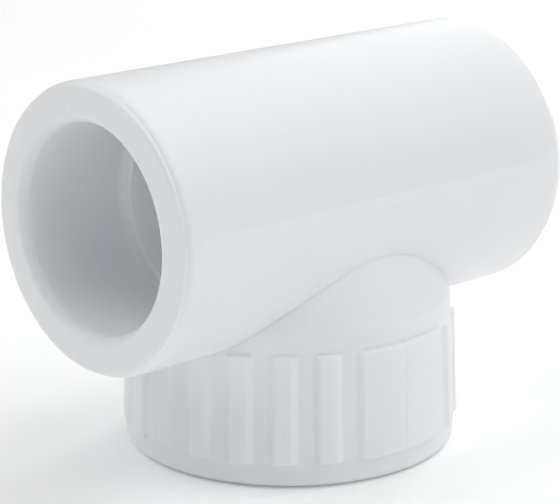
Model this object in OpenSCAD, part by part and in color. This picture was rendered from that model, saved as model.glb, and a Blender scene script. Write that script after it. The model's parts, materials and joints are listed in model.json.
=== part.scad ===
// Tee for welded plastic pipe: two plain pipe sockets in line and a female threaded branch.
// The branch points down, the run lies along X, and Z is zero on the metal face of the branch.

/* [Run] */
// Length of the run, mouth to mouth
run_length = 79; // [66:1:110]
// Outer diameter of the run
run_d = 43.5; // [38:0.5:54]
// Bore of the two pipe sockets
socket_d = 31.4; // [27:0.1:33]
// Depth of each pipe socket, mouth to pipe stop
socket_depth = 19; // [12:0.5:22]
// Bore between the two pipe stops
waterway_d = 27.8; // [20:0.1:28.5]
// Rounding of the bead round a mouth's rim
lip_round = 0.7; // [0.5:0.05:1]
// Drop of the bead's crest below the barrel
lip_step = 0.08; // [0.02:0.01:0.4]
// Distance from a mouth at which the barrel starts to turn in to its bead
lip_reach = 2.1; // [2:0.1:4]
// Rounding of the barrel where it turns in
barrel_round = 1.9; // [0.5:0.1:1.9]
// Rounding of a mouth's inner edge
mouth_round = 1.4; // [0.3:0.1:2]
// Rounding of the pipe stop's inner edge
stop_round = 0.5; // [0.3:0.1:1]
// Rounding in the corner between a socket and its pipe stop
root_round = 0.8; // [0.3:0.1:1.2]

/* [Neck and collar] */
// Height of the run's axis above the branch face
axis_height = 40; // [36:0.5:50]
// Plastic wall outside the insert's teeth, at the neck
collar_wall = 4.7; // [3:0.05:8]
// Draft of the collar's side, widening to the foot, in degrees
collar_draft = 2; // [0.5:0.25:4]
// Lean of the neck above its shoulder, from upright, in degrees
neck_lean = 27; // [15:1:35]
// Plain band under the ribs
foot_band = 3.5; // [2:0.1:6]
// Plain band between the ribs and the shoulder
neck_band = 3.2; // [1.5:0.1:6]
// Rounding of the foot's outer edge
foot_round = 1.2; // [0.5:0.1:3]
// Bore from the run down to the insert
branch_bore_d = 24; // [18:0.5:25]

/* [Grip ribs] */
// Rib positions all round the collar
rib_count = 24; // [16:2:32]
// Length of a rib
rib_length = 16.9; // [10:0.1:22]
// Width of a rib at the foot of its flanks
rib_width = 4.7; // [3:0.1:5.5]
// Height of a rib above the collar's side
rib_height = 0.65; // [0.3:0.05:1]
// Width of each leaning flank of a rib
rib_flank = 1.2; // [0.3:0.1:1.4]
// Rib positions on either side of a plain pad's middle that the pad takes in
pad_reach = 1; // [1:1:2]

/* [Threaded insert] */
// Bore of the tapped hole, at the crests of its thread
thread_bore_d = 30.3; // [26:0.1:36.4]
// Depth of the tapped hole
thread_depth = 17; // [12:0.5:18]
// Height of the lead-in at the tapped hole's mouth
thread_lead = 1.3; // [0.8:0.1:1.6]
// Metal wall outside the tapped hole's crests
insert_wall = 3.05; // [2.6:0.05:4]
// Overall height of the insert
insert_height = 22; // [20.4:0.1:26.4]
// How far the metal face stands below the plastic foot
face_proud = 0.2; // [0.1:0.1:1]
// Height of the plain foot ring
foot_ring_height = 3; // [2:0.1:4]
// Step of the foot ring outside the insert's wall
foot_ring_step = 0.8; // [0.4:0.1:1.5]
// Teeth round each locking band
tooth_count = 36; // [24:2:48]
// Height of a tooth's tip above the insert's wall
tooth_height = 2.2; // [1.2:0.1:3]
// Depth of the notch between two teeth
tooth_notch = 1.1; // [0.6:0.1:1.2]
// Height of each locking band
band_height = 3.8; // [2:0.1:4]
// Plain groove under each locking band
band_groove = 2.1; // [1.5:0.1:3]

/* [Seal ring] */
// Thickness of the seal ring
seal_section = 2; // [1.5:0.1:2.2]
// Depth of the seal ring's groove below the insert's wall
seal_sunk = 1.2; // [0.8:0.1:1.5]
// Room for the seal ring at each side of its groove
seal_room = 0.2; // [0.1:0.05:0.4]
// Metal left above the seal ring's groove
seal_lip = 1.8; // [1:0.1:3]

/* [Hidden] */
$fn = 96;

over = 1; // how far a cut runs past what it cuts
pad_sink = 0.03; // keeps a pad's face just under its end ribs, so that the faces cross and don't graze

run_r = run_d / 2;
socket_r = socket_d / 2;
waterway_r = waterway_d / 2;
branch_bore_r = branch_bore_d / 2;
run_core_r = (run_r + socket_r) / 2; // the neck is let into the run's wall to here

thread_r = thread_bore_d / 2;
insert_r = thread_r + insert_wall;
tooth_r = insert_r + tooth_height;
neck_r = tooth_r + collar_wall;

rib_z0 = face_proud + foot_band;
rib_z1 = rib_z0 + rib_length;
shoulder_z = rib_z1 + neck_band;
rib_pitch = 360 / rib_count;
rib_root_r = tooth_r + collar_wall / 2; // the ribs are rooted this deep in the collar
front = -90; // direction of the front pad

seal_r = insert_r - seal_sunk + seal_section / 2;
seal_z = insert_height - seal_lip - seal_room - seal_section / 2;

// Radius of the collar's drafted side at height z
function side_r(z) = neck_r + (shoulder_z - z) * tan(collar_draft);

// Rib positions from the given one to the middle of the nearest pad
function pad_steps(i) = abs((i + rib_count / 4) % (rib_count / 2) - rib_count / 4);

// Waste of a square corner at the origin, outside a quarter circle in the first quadrant
module corner_waste(r) {
    difference() {
        translate([-over, -over])
            square(r + over);
        translate([r, r])
            circle(r);
    }
}

// Half of the run's wall in section, radius across and the run's axis upright, from the middle to one mouth
module half_run_section() {
    mouth = run_length / 2;
    stop = mouth - socket_depth;
    barrel_end = mouth - lip_reach + barrel_round;
    bead_r = run_r - lip_step - lip_round;
    difference() {
        union() {
            difference() {
                translate([waterway_r, -over])
                    square([run_r - waterway_r, barrel_end + over]);
                translate([run_r, barrel_end])
                    rotate(180)
                        corner_waste(barrel_round);
            }
            translate([waterway_r, 0])
                square([bead_r - waterway_r, mouth]);
            translate([bead_r, mouth - lip_round])
                circle(lip_round);
        }
        difference() {
            translate([waterway_r - over, stop])
                square([socket_r - waterway_r + over, socket_depth + over]);
            translate([socket_r, stop])
                mirror([1, 0])
                    corner_waste(root_round);
        }
        translate([socket_r, mouth])
            mirror([0, 1])
                corner_waste(mouth_round);
        translate([waterway_r, stop])
            mirror([0, 1])
                corner_waste(stop_round);
    }
}

// The run's wall with both sockets, on its own axis
module run_wall() {
    translate([0, 0, axis_height])
        rotate([0, 90, 0])
            rotate_extrude() {
                half_run_section();
                mirror([0, 1])
                    half_run_section();
            }
}

// Collar and leaning neck as one turned solid, up to the run's axis
module neck_solid() {
    neck_rise = axis_height - shoulder_z;
    rotate_extrude()
        difference() {
            polygon([
                [0, face_proud],
                [side_r(face_proud), face_proud],
                [neck_r, shoulder_z],
                [neck_r - neck_rise * tan(neck_lean), axis_height],
                [0, axis_height]
            ]);
            translate([side_r(face_proud), face_proud])
                mirror([1, 0])
                    corner_waste(foot_round);
        }
}

// Cross-section of a rib: radial across from the collar's side, with a flat top and two leaning flanks
module rib_section() {
    root = side_r(rib_z0) - rib_root_r;
    sink = rib_height / 4; // the flanks run on below the tangent plane, to where the round side falls away
    foot = rib_width / 2 + sink * rib_flank / rib_height;
    top = rib_width / 2 - rib_flank;
    polygon([
        [-root, -foot],
        [-sink, -foot],
        [rib_height, -top],
        [rib_height, top],
        [-sink, foot],
        [-root, foot]
    ]);
}

// One rib along the drafted side, at the given direction
module rib_bar(direction) {
    rotate(direction)
        translate([side_r(rib_z0), 0, rib_z0])
            rotate([0, -collar_draft, 0])
                translate([0, 0, -over])
                    linear_extrude(rib_length + 2 * over)
                        rib_section();
}

// Plain pad between its two end ribs, at the given direction
module pad_face(direction) {
    pad_angle = 2 * pad_reach * rib_pitch;
    pad_rise = rib_height - pad_sink;
    rotate(direction - pad_angle / 2)
        rotate_extrude(angle = pad_angle)
            polygon([
                [rib_root_r, rib_z0 - over],
                [side_r(rib_z0 - over) + pad_rise, rib_z0 - over],
                [side_r(rib_z1 + over) + pad_rise, rib_z1 + over],
                [rib_root_r, rib_z1 + over]
            ]);
}

// Ring that cuts every rib and pad off square, top and bottom
module rib_zone() {
    translate([0, 0, rib_z0])
        rotate_extrude()
            translate([rib_root_r, 0])
                square([side_r(rib_z0) + rib_height + over - rib_root_r, rib_length]);
}

// All ribs, and the plain pads front and back
module grip_ribs() {
    intersection() {
        union() {
            for (i = [0 : rib_count - 1])
                if (pad_steps(i) >= pad_reach)
                    rib_bar(front + i * rib_pitch);
            for (side = [front, front + 180])
                pad_face(side);
        }
        rib_zone();
    }
}

// Outer form of the insert as a turned solid, teeth and seal groove apart
module insert_blank() {
    rotate_extrude()
        polygon([
            [0, 0],
            [insert_r + foot_ring_step, 0],
            [insert_r + foot_ring_step, foot_ring_height],
            [insert_r, foot_ring_height],
            [insert_r, insert_height],
            [0, insert_height]
        ]);
}

// One band of locking teeth, from the insert's core out
module tooth_band(z) {
    translate([0, 0, z])
        linear_extrude(band_height)
            polygon([
                for (i = [0 : 2 * tooth_count - 1])
                    let (a = i * 180 / tooth_count, r = tooth_r - (i % 2) * tooth_notch)
                        [r * cos(a), r * sin(a)]
            ]);
}

// The insert as the plastic finds it in the mould, with its seal groove filled
module insert_form() {
    insert_blank();
    for (i = [0, 1])
        tooth_band(foot_ring_height + band_groove + i * (band_height + band_groove));
}

module tee_body() {
    color([0.93, 0.94, 0.95])
        difference() {
            union() {
                run_wall();
                difference() {
                    union() {
                        neck_solid();
                        grip_ribs();
                    }
                    translate([-run_length / 2, 0, axis_height])
                        rotate([0, 90, 0])
                            cylinder(r = run_core_r, h = run_length);
                }
            }
            translate([0, 0, insert_height - over])
                cylinder(r = branch_bore_r, h = axis_height - insert_height + over);
            insert_form();
            seal_form();
        }
}

module threaded_insert() {
    lead_r = thread_r + thread_lead;
    color([0.76, 0.74, 0.68])
        difference() {
            insert_form();
            seal_groove();
            rotate_extrude()
                polygon([
                    [0, -over],
                    [lead_r + over, -over],
                    [thread_r, thread_lead],
                    [thread_r, thread_depth],
                    [branch_bore_r, thread_depth],
                    [branch_bore_r, insert_height + over],
                    [0, insert_height + over]
                ]);
        }
}

// Groove that the seal ring sits in
module seal_groove() {
    width = seal_section + 2 * seal_room;
    translate([0, 0, seal_z - width / 2])
        rotate_extrude()
            translate([insert_r - seal_sunk, 0])
                square([seal_sunk + over, width]);
}

// The seal ring's own form, shared with the plastic moulded over it
module seal_form() {
    translate([0, 0, seal_z])
        rotate_extrude()
            translate([seal_r, 0])
                circle(d = seal_section);
}

module insert_seal() {
    color([0.12, 0.12, 0.13])
        seal_form();
}

tee_body();
threaded_insert();
insert_seal();
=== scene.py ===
import json
import math

import bmesh
import bpy
import numpy as np
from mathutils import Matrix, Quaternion, Vector


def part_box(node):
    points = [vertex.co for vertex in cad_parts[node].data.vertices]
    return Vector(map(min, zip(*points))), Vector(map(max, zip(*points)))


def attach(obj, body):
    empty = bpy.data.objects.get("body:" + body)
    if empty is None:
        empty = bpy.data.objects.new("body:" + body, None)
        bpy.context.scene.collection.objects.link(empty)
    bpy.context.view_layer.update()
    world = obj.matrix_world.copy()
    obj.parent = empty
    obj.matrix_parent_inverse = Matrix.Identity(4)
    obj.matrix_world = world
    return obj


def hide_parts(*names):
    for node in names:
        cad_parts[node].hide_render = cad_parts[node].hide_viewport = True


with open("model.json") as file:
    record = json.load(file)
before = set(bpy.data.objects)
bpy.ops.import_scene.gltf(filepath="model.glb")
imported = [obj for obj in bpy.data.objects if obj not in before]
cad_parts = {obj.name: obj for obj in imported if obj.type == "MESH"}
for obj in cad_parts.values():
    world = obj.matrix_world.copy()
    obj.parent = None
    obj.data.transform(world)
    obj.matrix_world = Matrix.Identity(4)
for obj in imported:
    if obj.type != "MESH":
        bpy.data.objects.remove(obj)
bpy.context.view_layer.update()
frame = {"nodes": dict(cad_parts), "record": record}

mm = 0.001      # every size below is in millimetres, and meshes are scaled to metres when they are made
weld = 0.002    # points closer than this become one

# sizes that the frame already knows
mounts = {m["name"]: m for m in frame["record"]["mounts"]}
bodyLow, bodyHigh = (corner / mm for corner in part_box("tee_body"))
insertLow, insertHigh = (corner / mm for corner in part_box("threaded_insert"))
sealLow, sealHigh = (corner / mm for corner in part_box("insert_seal"))
axisZ = mounts["run_socket_left"]["pos_m"][2] / mm
socketR = mounts["run_socket_left"]["dims"]["r_mm"]
threadR = mounts["branch_thread"]["dims"]["r_mm"]
runHalf = bodyHigh.x
runR = bodyHigh.z - axisZ
footZ = bodyLow.z
insertTop = insertHigh.z
toothR = insertHigh.x
print("frame: run %.1f long, %.1f across, axis %.1f up" % (2 * runHalf, 2 * runR, axisZ))


# mesh helpers

def ringGrid(grids, points, closed=True):
    grids.append((np.asarray(points, float), closed))


def meshFromGrids(name, grids):
    # every grid is rows x columns of points; a closed one joins its last column to its first
    verts, faces, start = [], [], 0
    for points, closed in grids:
        rows, cols = points.shape[:2]
        index = np.arange(rows * cols).reshape(rows, cols) + start
        here = index if closed else index[:, :-1]
        after = np.roll(index, -1, axis=1) if closed else index[:, 1:]
        quads = np.stack([here[:-1], after[:-1], after[1:], here[1:]], -1)
        verts.append(points.reshape(-1, 3))
        faces.append(quads.reshape(-1, 4))
        start += rows * cols
    mesh = bpy.data.meshes.new(name)
    mesh.from_pydata((np.concatenate(verts) * mm).tolist(), [], np.concatenate(faces).tolist())
    bm = bmesh.new()
    bm.from_mesh(mesh)
    bmesh.ops.remove_doubles(bm, verts=bm.verts, dist=weld * mm)
    bmesh.ops.recalc_face_normals(bm, faces=bm.faces)
    openEdges = sum(1 for e in bm.edges if len(e.link_faces) != 2)
    for face in bm.faces:
        face.smooth = True
    bm.to_mesh(mesh)
    bm.free()
    piece = bpy.data.objects.new(name, mesh)
    bpy.context.scene.collection.objects.link(piece)
    print("%s: %d faces, %d open edges" % (name, len(mesh.polygons), openEdges))
    return piece


def softMin(a, b, k):
    # the lesser of two, with the corner between them rounded over k
    h = np.maximum(k - np.abs(a - b), 0) / k
    return np.minimum(a, b) - h * h * k / 4


def smoothStep(t):
    t = np.clip(t, 0, 1)
    return t * t * (3 - 2 * t)


def arc(cx, cy, r, a0, a1, n):
    # points of an arc in a section, angles in degrees
    turns = np.radians(np.linspace(a0, a1, n))
    return [(cx + r * math.cos(a), cy + r * math.sin(a)) for a in turns]


# white moulding: run, leaning neck and ribbed collar in one skin

run = {
    "lipRound": 0.63,       # bead round the rim of each mouth
    "lipStep": 0.46,        # the bead sits this far under the barrel
    "lipReach": 1.75,       # the barrel starts to turn in this far from the mouth
    "lipLead": 0.12,        # and has one more row of points this far before that
    "barrelRound": 1.5,
    "mouthEdge": (1.5, 0.95),   # inner edge of each mouth, along the run and across it
    "mouthFlat": 0.6,       # 0 is a rounded edge, 1 a straight chamfer
    "socketDepth": 19.0,
    "rootRound": 1.0,       # inside corner at the pipe stop
    "stopRound": 0.5,       # inner edge of the pipe stop
    "waterwayR": 13.9,
    "branchBoreR": 12.0,
    "witness": {83.7: -0.09, 95.3: 0.2},    # degrees up from the underside: a fine groove and a ridge
    "witnessWide": 0.33,    # width of their upper flank
    "witnessFall": 0.75,    # and of their lower one
    "witnessEnd": 0.6,      # they run out over this length before the lip
}

collar = {
    "neckR": 25.1,          # at the shoulder
    "shoulderZ": 23.8,
    "shoulderSoft": 0.3,
    "neckLean": 27.0,
    "draft": 2.0,
    "footRound": 1.2,
    "ribCount": 24,
    "ribFrom": 3.7,
    "ribTo": 20.6,
    "ribHalf": 2.35,        # half width at the foot of its flanks
    "ribRise": 0.63,
    "ribFlank": 1.35,       # width of a side flank
    "endFlank": 0.36,       # the ends are steeper
    "topLine": 0.09,        # depth of the fine line over the upper end of each rib and pad
    "topLineWide": 0.16,
    "padReach": 1,          # ribs that a plain pad takes in on either side of its middle
    "blend": 0.25,          # reach of the small fillet where the neck meets the run
    "creaseDeep": 0.1,      # and how far it is pinched in
    "partingAt": 1.0,       # mould line on each pad, degrees off its middle
    "partingDeep": 0.09,
    "partingWide": 0.13,
    "partingFaint": 0.12,   # share of that depth on the neck, above and below the pad
}


def columnAngles():
    # upright lines round the collar, closer together where a rib's flank curves
    pitch = 360 / collar["ribCount"]
    steps = [1.3, 2.2, 2.5, 2.8, 3.1, 3.4, 3.7, 4.0, 4.3, 4.6, 4.9, 5.15, 5.4, 6.3]
    oneRib = [-s for s in reversed(steps)] + [0] + steps + [pitch / 2]
    angles = [i * pitch + s for i in range(collar["ribCount"]) for s in oneRib]
    lines = (90 + collar["partingAt"], 270 - collar["partingAt"])
    angles += [at + s for at in lines for s in (-0.5, -0.25, -0.12, 0, 0.12, 0.25, 0.5)]
    return np.radians(np.sort(np.mod(angles, 360)))


def ribRise(angle, z):
    pitch = 2 * math.pi / collar["ribCount"]
    r = collar["neckR"]
    quarter = angle / pitch - collar["ribCount"] / 4
    toRib = np.abs(quarter - np.round(quarter)) * pitch * r
    half = collar["ribCount"] / 2
    toPad = np.abs(quarter - half * np.round(quarter / half)) * pitch * r
    sides = collar["ribHalf"] + np.maximum(-toRib, collar["padReach"] * pitch * r - toPad)
    ends = np.minimum(z - collar["ribFrom"], collar["ribTo"] - z)
    across = np.maximum(1 - sides / collar["ribFlank"], 0)
    along = np.maximum(1 - ends / collar["endFlank"], 0)
    rise = collar["ribRise"] * smoothStep(1 - np.hypot(across, along))
    away = np.abs(np.abs(np.mod(np.degrees(angle), 360) - 180) - 90 + collar["partingAt"])
    line = np.exp(-(np.radians(away) * r / collar["partingWide"]) ** 2)
    faint = collar["partingFaint"]
    rise = rise - collar["partingDeep"] * line * (faint + (1 - faint) * smoothStep(3 * ends + 1))
    over = (z - collar["ribTo"]) / collar["topLineWide"] - 1
    return rise - collar["topLine"] * np.exp(-over ** 2) * smoothStep(sides / collar["ribFlank"])


def collarR(angle, z, ribs=True):
    up = collar["shoulderZ"] - z
    side = collar["neckR"] + up * math.tan(math.radians(collar["draft"]))
    cone = collar["neckR"] + up * math.tan(math.radians(collar["neckLean"]))
    r = softMin(side, cone, collar["shoulderSoft"])
    return r + ribRise(angle, z) if ribs else r


def aroundBranch(angle, r, z):
    r, z = np.broadcast_to(r, angle.shape), np.broadcast_to(z, angle.shape)
    return np.stack([r * np.cos(angle), r * np.sin(angle), z], -1)


def onRun(x, s, r):
    # x along the run, s degrees round it from the underside, + towards the back
    x, s, r = np.broadcast_arrays(x, s, r)
    a = np.radians(s)
    return np.stack([x, r * np.sin(a), axisZ - r * np.cos(a)], -1)


def witness(s):
    # faint lines along both flanks of the barrel where the mould parts, as height over the plain tube
    rise = 0
    for at, height in run["witness"].items():
        away = np.radians(np.abs(np.mod(s + 180, 360) - 180) - at) * runR
        flank = np.where(away > 0, run["witnessWide"], run["witnessFall"])
        rise = rise + height * np.exp(-(away / flank) ** 2)
    return rise


def meetRun(angle, radiusAt, tubeR):
    # height where a surface round the branch axis meets a tube of the run, column by column
    low, high = np.full(angle.shape, axisZ - tubeR - 0.5), np.full(angle.shape, axisZ)
    for _ in range(50):
        z = (low + high) / 2
        outside = (radiusAt(angle, z) * np.sin(angle)) ** 2 + (z - axisZ) ** 2 > tubeR ** 2
        low, high = np.where(outside, z, low), np.where(outside, high, z)
    return (low + high) / 2


def unrolled(angle, radiusAt, tubeR):
    # the same meeting line on the flattened tube: x, and arc length from the underside
    z = meetRun(angle, radiusAt, tubeR)
    r = radiusAt(angle, z)
    y = np.clip(r * np.sin(angle) / tubeR, -1, 1)
    return np.stack([r * np.cos(angle), tubeR * np.arcsin(y)], -1), z


def outward(flat):
    along = np.roll(flat, -1, axis=0) - np.roll(flat, 1, axis=0)
    n = np.stack([along[:, 1], -along[:, 0]], -1)
    return n / np.linalg.norm(n, axis=1, keepdims=True)


def saddle(grids, angle, flat, tubeR, halfX, edge, upperLines, lift):
    # skin of a tube between -halfX and halfX, with a hole whose edge is the flat outline
    c, s = np.cos(angle), np.sin(angle)
    side = np.abs(c) >= np.abs(s) - 1e-9
    edgeArc = math.radians(edge) * tubeR
    frameX = np.where(side, halfX * np.sign(c), halfX * c / np.maximum(np.abs(s), 1e-9))
    frameS = np.where(side, edgeArc * s / np.maximum(np.abs(c), 1e-9), edgeArc * np.sign(s))
    square = np.stack([frameX, frameS], -1)
    rings = np.array([0, 0.04, 0.1, 0.18, 0.28, 0.4, 0.55, 0.7, 0.85, 1])[:, None, None]
    flatRings = flat + rings * (square - flat)
    degrees = np.degrees(flatRings[..., 1] / tubeR)
    ringGrid(grids, onRun(flatRings[..., 0], degrees, tubeR + lift(degrees)))
    front = np.sort(frameX[(np.abs(s) >= np.abs(c) - 1e-9) & (s < 0)])
    xs, us = np.meshgrid(front, upperLines)
    ringGrid(grids, onRun(xs, us, tubeR + lift(us)), closed=False)


def mouthSection():
    # section of one mouth from the barrel over the lip and down the socket to the waterway: x, radius
    turnX, turnR = runHalf - run["lipReach"], runR - run["barrelRound"]
    lipX, outer = runHalf - run["lipRound"], runR - run["lipStep"] - run["lipRound"]
    stopX = runHalf - run["socketDepth"]
    # barrel and bead are two arcs that cross in a fine groove
    apart = math.hypot(lipX - turnX, outer - turnR)
    lean = math.degrees(math.atan2(outer - turnR, lipX - turnX))
    along = (apart ** 2 + run["barrelRound"] ** 2 - run["lipRound"] ** 2) / (2 * apart)
    barrelEnd = lean + math.degrees(math.acos(along / run["barrelRound"]))
    beadStart = lean + math.degrees(math.acos((along - apart) / run["lipRound"]))
    section = [(turnX - run["lipLead"], runR)] + arc(turnX, turnR, run["barrelRound"], 90, barrelEnd, 14)
    section += arc(lipX, outer, run["lipRound"], beadStart, 0, 20)[1:]
    deep, wide = run["mouthEdge"]
    inner = socketR + wide
    section += [(runHalf, r) for r in np.linspace(outer, inner, 7)[1:-1]]
    turn = np.array(arc(0, 0, 1, 0, -90, 14)) * (deep, wide) + (runHalf - deep, inner)
    chord = np.linspace(turn[0], turn[-1], len(turn))
    section += [tuple(p) for p in turn + run["mouthFlat"] * (chord - turn)]
    rootX = stopX + run["rootRound"]
    section += [(x, socketR) for x in np.linspace(runHalf - deep, rootX, 12)[1:-1]]
    section += arc(rootX, socketR - run["rootRound"], run["rootRound"], 90, 180, 11)
    stopR = run["waterwayR"] + run["stopRound"]
    section += [(stopX, r) for r in np.linspace(socketR - run["rootRound"], stopR, 4)[1:-1]]
    section += arc(stopX - run["stopRound"], stopR, run["stopRound"], 0, -90, 8)
    return np.array(section)


def insertPocket():
    # section of the plastic round the insert and its seal, from the branch bore down to the foot: radius, z
    wall = threadR + insert["wall"]
    sealZ = (sealLow.z + sealHigh.z) / 2
    sealR = (sealHigh.z - sealLow.z) / 2
    mid = sealHigh.x - sealR
    swell = math.sqrt(sealR ** 2 - (wall - mid) ** 2)
    section = [(run["branchBoreR"], insertTop), (wall, insertTop)]
    section += [(mid + math.sqrt(sealR ** 2 - dz ** 2), sealZ + dz) for dz in np.linspace(swell, -swell, 7)]
    for z in sorted(insert["bandsAt"], reverse=True):
        top = z + insert["bandHigh"]
        section += [(wall, top), (toothR, top), (toothR, z), (wall, z)]
    ring = wall + insert["ringStep"]
    return section + [(wall, insert["ringHigh"]), (ring, insert["ringHigh"]), (ring, footZ)]


def teeBody():
    grids = []
    angle = columnAngles()
    edge = 78.0             # the square cut round the neck ends here, degrees up from the underside
    halfX = 30.5            # and here along the run
    lines = [edge]
    byLine = (-5.5, -4.5, -3.6, -2.8, -2.1, -1.5, -1, -0.6, -0.3, 0,
              0.15, 0.3, 0.5, 0.7, 0.9, 1.2, 1.6, 2.5)
    for at in run["witness"]:
        lines += [at + d for d in byLine]
    lines += list(np.linspace(98, 180, 44))
    upper = np.array(lines + [360 - a for a in reversed(lines[:-1])])

    # collar and neck, from the waterway down inside, round the foot and up to the run
    boreFlat, boreZ = unrolled(angle, lambda a, z: run["branchBoreR"] + 0 * a, run["waterwayR"])
    soften = 0.4            # rounding where the branch opens into the waterway
    boreOut = boreFlat + soften * outward(boreFlat)
    crest = aroundBranch(angle, run["branchBoreR"], boreZ)
    above = onRun(boreOut[:, 0], np.degrees(boreOut[:, 1] / run["waterwayR"]), run["waterwayR"])
    below = aroundBranch(angle, run["branchBoreR"], boreZ - soften)
    rows = [(1 - t) ** 2 * above + 2 * t * (1 - t) * crest + t * t * below for t in np.linspace(0, 1, 5)]
    rows += [aroundBranch(angle, run["branchBoreR"], boreZ - soften + t * (insertTop - boreZ + soften))
             for t in (0.2, 0.4, 0.6, 0.8)]
    rows += [aroundBranch(angle, r, z) for r, z in insertPocket()]

    footR = collarR(angle, footZ + collar["footRound"], ribs=False)
    ring = threadR + insert["wall"] + insert["ringStep"]
    inner = footR - collar["footRound"]
    rows += [aroundBranch(angle, r, footZ) for r in np.linspace(ring, inner, 5)[1:-1]]
    turn = arc(inner, footZ + collar["footRound"], collar["footRound"], -90, 0, 12)
    rows += [aroundBranch(angle, r, z) for r, z in turn]

    # rows up the collar, closer together at the ends of the ribs and at the shoulder
    flat, meetZ = unrolled(angle, collarR, runR)
    plain, _ = unrolled(angle, lambda a, z: collarR(a, z, ribs=False), runR)
    ends = np.array([0, 0.04, 0.08, 0.12, 0.16, 0.2, 0.24, 0.3, 0.4, 0.6, 0.9, 1.2, 1.5])
    shoulder = collar["shoulderZ"] + np.array([-1, -0.6, -0.35, -0.2, -0.1, 0, 0.1, 0.2, 0.35, 0.6, 1])
    overRib = collar["ribTo"] + np.array([0.05, 0.1, 0.15, 0.2, 0.25, 0.32, 0.4, 0.55, 0.8])
    levels = np.concatenate([
        [2.7, 3.2], collar["ribFrom"] + ends, np.arange(6, 19, 1.5), (collar["ribTo"] - ends)[::-1],
        overRib, [22.2], shoulder, np.arange(25.8, axisZ, 0.9)])
    squeeze = 0.012         # rows that the run would hide pack together under its fillet
    rest = np.arange(len(levels))[::-1] * squeeze
    for level, room in zip(levels, rest):
        z = np.minimum(level, meetZ - collar["blend"] - room)
        rows.append(aroundBranch(angle, collarR(angle, z), z))
    lowZ = meetZ - collar["blend"]
    low = aroundBranch(angle, collarR(angle, lowZ), lowZ)
    corner = aroundBranch(angle, collarR(angle, meetZ), meetZ)
    lean = math.radians(collar["neckLean"])
    neckWay = aroundBranch(angle, math.cos(lean), math.sin(lean))
    runWay = (corner - np.array([0, 0, axisZ])) * np.array([0, 1, 1]) / runR
    pinch = neckWay + runWay
    corner = corner - 2 * collar["creaseDeep"] * pinch / np.linalg.norm(pinch, axis=1, keepdims=True)
    edgeFlat = flat + collar["blend"] * outward(plain)
    high = onRun(edgeFlat[:, 0], np.degrees(edgeFlat[:, 1] / runR), runR)
    rows += [(1 - t) ** 2 * low + 2 * t * (1 - t) * corner + t * t * high for t in np.linspace(0, 1, 9)[1:]]
    ringGrid(grids, np.array(rows))

    # barrel round the neck, then the waterway inside it
    saddle(grids, angle, edgeFlat, runR, halfX, edge, upper, witness)
    boreX = 17.0            # the same cut inside ends here
    saddle(grids, angle, boreOut, run["waterwayR"], boreX, edge, upper, lambda s: 0 * s)

    # both ends: barrel, lip, face, socket, pipe stop
    sideways = np.abs(np.cos(angle)) >= np.abs(np.sin(angle)) - 1e-9
    lower = np.sort(edge * np.tan(angle[sideways & (np.cos(angle) > 0)]))
    around = np.concatenate([lower, upper[1:-1]])
    section = mouthSection()
    nearLip, lipX = run["witnessEnd"], section[0, 0]
    barrelX = np.concatenate([np.linspace(halfX, lipX - nearLip, 8), [lipX - nearLip / 2]])
    innerX = np.linspace(section[-1, 0], boreX, 5)[1:]
    rise = witness(around)
    for end in (-1, 1):
        rows = [onRun(end * x, around, runR + rise * min(1, (lipX - x) / nearLip)) for x in barrelX]
        rows += [onRun(end * x, around, r) for x, r in section]
        rows += [onRun(end * x, around, run["waterwayR"]) for x in innerX]
        ringGrid(grids, np.array(rows))
    return meshFromGrids("teeBody", grids)


# plated insert: tapped bore, foot ring, locking teeth and seal groove

insert = {
    "wall": 3.05,
    "ringHigh": 3.0,
    "ringStep": 0.8,
    "bandsAt": (5.1, 11.0),
    "bandHigh": 3.8,
    "teeth": 36,
    "notch": 1.1,
    "sealSunk": 1.2,
    "sealRoom": 0.2,
    "threadDeep": 17.0,
    "lead": 1.3,
    "pitch": 2.309,         # 11 threads to the inch
    "threadRise": 1.45,
    "crestFlat": 0.12,      # share of a turn that is flat on crest and root
    "runOut": 0.6,          # the thread stops this far from the end of its bore
    "rowsPerTurn": 14,
    "edge": 0.25,           # broken corners
}


def threadProfile(angle, z):
    # rounded pipe thread cut outwards from the crest radius, fading where the tap stops
    phase = np.mod(z / insert["pitch"] - angle / (2 * math.pi), 1)
    flat = insert["crestFlat"]
    height = smoothStep((np.abs(2 * phase - 1) - flat) / (1 - 2 * flat))
    fade = smoothStep((insert["threadDeep"] - insert["runOut"] - z) / insert["pitch"])
    return threadR + insert["threadRise"] * height * fade


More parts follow.
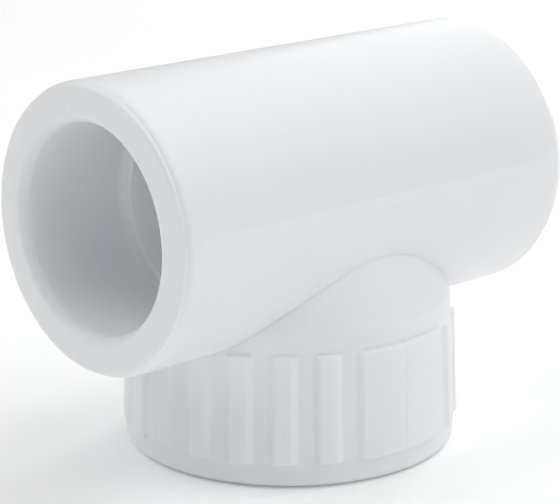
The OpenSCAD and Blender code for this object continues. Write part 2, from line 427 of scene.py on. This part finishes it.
def tappedInsert():
    grids = []
    perTooth = 8
    n = insert["teeth"] * perTooth
    angle = np.arange(n) * 2 * math.pi / n
    toTip = np.abs(np.mod(np.arange(n) / perTooth + 0.5, 1) - 0.5) * 2   # 0 on a tip, 1 in a notch
    wall = threadR + insert["wall"]
    ring = wall + insert["ringStep"]
    e = insert["edge"]
    rows = []

    # bore, top down
    top, deep, bore = insertTop, insert["threadDeep"], run["branchBoreR"]
    section = [(bore + e, top), (bore, top - e), (bore, top - 2 * e),
               (bore, deep + 2 * e), (bore, deep + e), (bore + e, deep),
               (bore + 2 * e, deep), (threadR - e, deep)]
    rows += [aroundBranch(angle, r, z) for r, z in section]
    for z in np.arange(deep - 0.02, 0.02, -insert["pitch"] / insert["rowsPerTurn"]):
        lead = threadR + insert["lead"] - z
        rows.append(aroundBranch(angle, np.maximum(threadProfile(angle, z), lead), z))
    mouth = threadR + insert["lead"]
    mouthR = np.maximum(threadProfile(angle, 0.0 * angle), mouth)
    rows.append(aroundBranch(angle, mouthR, insertLow.z))

    # face, foot ring and outside, bottom up
    face, ringTop = insertLow.z, insert["ringHigh"]
    section = [((mouth + ring) / 2 + 0.2, face), (ring - 2 * e, face), (ring - e, face),
               (ring, e), (ring, 2 * e), (ring, ringTop - e), (ring - e, ringTop), (wall, ringTop)]
    rows += [aroundBranch(angle, r, z) for r, z in section]
    for z in insert["bandsAt"]:
        tip = toothR - insert["notch"] * toTip
        zTop = z + insert["bandHigh"]
        section = [(wall, z), (tip - e, z), (tip, z + e), (tip, zTop - e), (tip - e, zTop), (wall, zTop)]
        rows += [aroundBranch(angle, r, at) for r, at in section]
    low, high = sealLow.z - insert["sealRoom"], sealHigh.z + insert["sealRoom"]
    sunk = wall - insert["sealSunk"]
    section = [(wall, low), (sunk, low), (sunk, high), (wall, high), (wall, top - e), (wall - e, top),
               (bore + e, top)]
    rows += [aroundBranch(angle, r, z) for r, z in section]
    ringGrid(grids, np.array(rows))
    return meshFromGrids("tappedInsert", grids)


# finishes

def newMaterial(name):
    mat = bpy.data.materials.new(name)
    mat.use_nodes = True
    nodes, links = mat.node_tree.nodes, mat.node_tree.links
    return mat, nodes, links, nodes["Principled BSDF"]


def noiseAt(nodes, links, scale, detail, rough=0.5):
    where = nodes.new("ShaderNodeTexCoord")
    noise = nodes.new("ShaderNodeTexNoise")
    noise.inputs["Scale"].default_value = scale
    noise.inputs["Detail"].default_value = detail
    noise.inputs["Roughness"].default_value = rough
    links.new(where.outputs["Object"], noise.inputs["Vector"])
    return noise


def rampTo(nodes, links, source, socket, low, high):
    ramp = nodes.new("ShaderNodeValToRGB")
    for element, at, colour in zip(ramp.color_ramp.elements, (0.3, 0.7), (low, high)):
        element.position, element.color = at, colour
    links.new(source, ramp.inputs["Fac"])
    links.new(ramp.outputs["Color"], socket)


def grey(v):
    return (v, v, v, 1)


def bumpFrom(nodes, links, shader, layers):
    # layers of (height output, strength, distance in mm), the last on top
    normal = None
    for height, strength, distance in layers:
        bump = nodes.new("ShaderNodeBump")
        bump.inputs["Strength"].default_value = strength
        bump.inputs["Distance"].default_value = distance * mm
        links.new(height, bump.inputs["Height"])
        if normal:
            links.new(normal, bump.inputs["Normal"])
        normal = bump.outputs["Normal"]
    links.new(normal, shader.inputs["Normal"])


def mouldedWhite():
    mat, nodes, links, shader = newMaterial("mouldedWhite")
    tint = noiseAt(nodes, links, 60, 3)
    rampTo(nodes, links, tint.outputs["Fac"], shader.inputs["Base Color"],
           (0.886, 0.897, 0.917, 1), (0.899, 0.910, 0.930, 1))
    gloss = noiseAt(nodes, links, 240, 4)
    rampTo(nodes, links, gloss.outputs["Fac"], shader.inputs["Roughness"], grey(0.38), grey(0.47))
    shader.inputs["IOR"].default_value = 1.49
    shader.inputs["Subsurface Weight"].default_value = 0.5
    shader.inputs["Subsurface Radius"].default_value = (0.9, 0.95, 1.0)
    shader.inputs["Subsurface Scale"].default_value = 2.5 * mm
    skin = noiseAt(nodes, links, 1400, 3)
    drift = noiseAt(nodes, links, 170, 2)
    rough = nodes.new("ShaderNodeAttribute")
    rough.attribute_name = "grain"
    height = nodes.new("ShaderNodeMath")
    height.operation = "MULTIPLY"
    links.new(skin.outputs["Fac"], height.inputs[0])
    links.new(rough.outputs["Fac"], height.inputs[1])
    bumpFrom(nodes, links, shader, [(drift.outputs["Fac"], 0.08, 0.05), (skin.outputs["Fac"], 0.1, 0.02),
                                    (height.outputs["Value"], 0.3, 0.03)])
    return mat


def platedBrass():
    mat, nodes, links, shader = newMaterial("platedBrass")
    shader.inputs["Metallic"].default_value = 1.0
    tint = noiseAt(nodes, links, 120, 4)
    rampTo(nodes, links, tint.outputs["Fac"], shader.inputs["Base Color"],
           (0.66, 0.62, 0.55, 1), (0.74, 0.71, 0.65, 1))
    gloss = noiseAt(nodes, links, 500, 4)
    rampTo(nodes, links, gloss.outputs["Fac"], shader.inputs["Roughness"], grey(0.2), grey(0.34))
    turned = nodes.new("ShaderNodeTexWave")
    turned.wave_type, turned.rings_direction = "RINGS", "Z"
    turned.inputs["Scale"].default_value = 900
    turned.inputs["Distortion"].default_value = 0.6
    where = nodes.new("ShaderNodeTexCoord")
    links.new(where.outputs["Object"], turned.inputs["Vector"])
    bumpFrom(nodes, links, shader, [(turned.outputs["Fac"], 0.1, 0.01)])
    return mat


def sealRubber():
    mat, nodes, links, shader = newMaterial("sealRubber")
    tint = noiseAt(nodes, links, 400, 3)
    rampTo(nodes, links, tint.outputs["Fac"], shader.inputs["Base Color"],
           (0.018, 0.018, 0.02, 1), (0.032, 0.032, 0.034, 1))
    rampTo(nodes, links, tint.outputs["Fac"], shader.inputs["Roughness"], grey(0.55), grey(0.7))
    bumpFrom(nodes, links, shader, [(tint.outputs["Fac"], 0.2, 0.02)])
    return mat


def paleFloor():
    mat, nodes, links, shader = newMaterial("paleFloor")
    tint = noiseAt(nodes, links, 12, 2)
    low, high = studio["floorTone"]
    rampTo(nodes, links, tint.outputs["Fac"], shader.inputs["Base Color"], grey(low), grey(high))
    shader.inputs["Roughness"].default_value = 0.9
    shader.inputs["Emission Color"].default_value = (1, 1, 1, 1)
    shader.inputs["Emission Strength"].default_value = studio["floorGlow"]
    return mat


def markGrain(piece):
    # 1 on collar and neck, which are rougher from the mould than the run, and 0 on the run
    places = np.empty(len(piece.data.vertices) * 3)
    piece.data.vertices.foreach_get("co", places)
    y, z = places.reshape(-1, 3)[:, 1:].T / mm
    off = np.hypot(y, z - axisZ) - runR
    fade = 0.4
    mark = piece.data.attributes.new("grain", "FLOAT", "POINT")
    mark.data.foreach_set("value", smoothStep(off / fade))


def finishWith(piece, mat):
    piece.data.materials.clear()
    piece.data.materials.append(mat)


# make the pieces

body = teeBody()
markGrain(body)
body.modifiers.new("evenShading", "WEIGHTED_NORMAL").keep_sharp = True
finishWith(body, mouldedWhite())
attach(body, "root")
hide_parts("tee_body")

brass = tappedInsert()
brass.modifiers.new("evenShading", "WEIGHTED_NORMAL").keep_sharp = True
finishWith(brass, platedBrass())
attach(brass, "root")
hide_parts("threaded_insert")

seal = frame["nodes"]["insert_seal"]
seal.data.materials.clear()
seal.data.materials.append(sealRubber())
print("pieces made and finished")


# floor, light and camera

studio = {
    "floorWide": 8.0,                        # metres
    "floorTone": (0.955, 0.965),
    "floorGlow": 0.08,                       # the floor is lit from below, like a light table
    "sky": 0.01,                             # light that comes from all round
    "skySeen": 1.0,                          # the same as the camera sees it
    "aim": (0, 0, 0.03),                     # all lights point here, metres
    "lights": {                              # where it stands, side in metres, watts
        "frontHigh": ((0.0, -0.6, 1.07), 1.0, 3.35),
        "rightHigh": ((0.6, 0.0, 1.07), 1.0, 5.0),
        "frontRight": ((0.6, -0.6, 0.88), 0.9, 3.9),
        "backLeft": ((-0.6, 0.6, 0.88), 0.9, 6.1),
        "lowBack": ((0.0, 1.13, 0.44), 0.6, 0.7),
        "lowRight": ((0.98, 0.56, 0.44), 0.6, 2.5),
        "lowFront": ((0.0, -1.13, 0.44), 0.6, 1.0),
        "lowLeft": ((-0.98, -0.56, 0.44), 0.6, 1.2),
        "throughRun": ((1.126, 0.41, 0.093), 0.14, 3.0),    # low, shines in at the far mouth
    },
}

view = {
    "from": (-227.4, -244.1, 122.5),
    "at": (-1.06, 0.98, 29.42),
    "lens": 142.6,
    "sensor": 36,
    "roll": -0.21,          # degrees
}


def makeFloor():
    half = studio["floorWide"] / 2
    mesh = bpy.data.meshes.new("floor")
    corners = [(-half, -half, 0), (half, -half, 0), (half, half, 0), (-half, half, 0)]
    mesh.from_pydata(corners, [], [(0, 1, 2, 3)])
    floor = bpy.data.objects.new("floor", mesh)
    bpy.context.scene.collection.objects.link(floor)
    floor.data.materials.append(paleFloor())


def makeLights():
    world = bpy.data.worlds.new("studio")
    bpy.context.scene.world = world
    world.use_nodes = True
    nodes, links = world.node_tree.nodes, world.node_tree.links
    back = nodes["Background"]
    back.inputs["Color"].default_value = (1, 1, 1, 1)
    path = nodes.new("ShaderNodeLightPath")
    level = nodes.new("ShaderNodeMapRange")
    level.inputs["To Min"].default_value = studio["sky"]
    level.inputs["To Max"].default_value = studio["skySeen"]
    links.new(path.outputs["Is Camera Ray"], level.inputs["Value"])
    links.new(level.outputs["Result"], back.inputs["Strength"])
    for name, (place, side, watts) in studio["lights"].items():
        lamp = bpy.data.lights.new(name, "AREA")
        lamp.shape, lamp.size, lamp.energy = "SQUARE", side, watts
        light = bpy.data.objects.new(name, lamp)
        light.location = place
        aim = Vector(studio["aim"]) - Vector(place)
        light.rotation_euler = aim.to_track_quat("-Z", "Y").to_euler()
        bpy.context.scene.collection.objects.link(light)


def makeCamera():
    data = bpy.data.cameras.new("camera")
    data.lens, data.sensor_width = view["lens"], view["sensor"]
    camera = bpy.data.objects.new("camera", data)
    camera.location = Vector(view["from"]) * mm
    aim = (Vector(view["at"]) - Vector(view["from"])).to_track_quat("-Z", "Y")
    camera.rotation_euler = (aim @ Quaternion((0, 0, 1), math.radians(view["roll"]))).to_euler()
    bpy.context.scene.collection.objects.link(camera)
    bpy.context.scene.camera = camera


makeFloor()
makeLights()
makeCamera()
bpy.context.scene.view_settings.view_transform = "Standard"
print("floor, light and camera set")
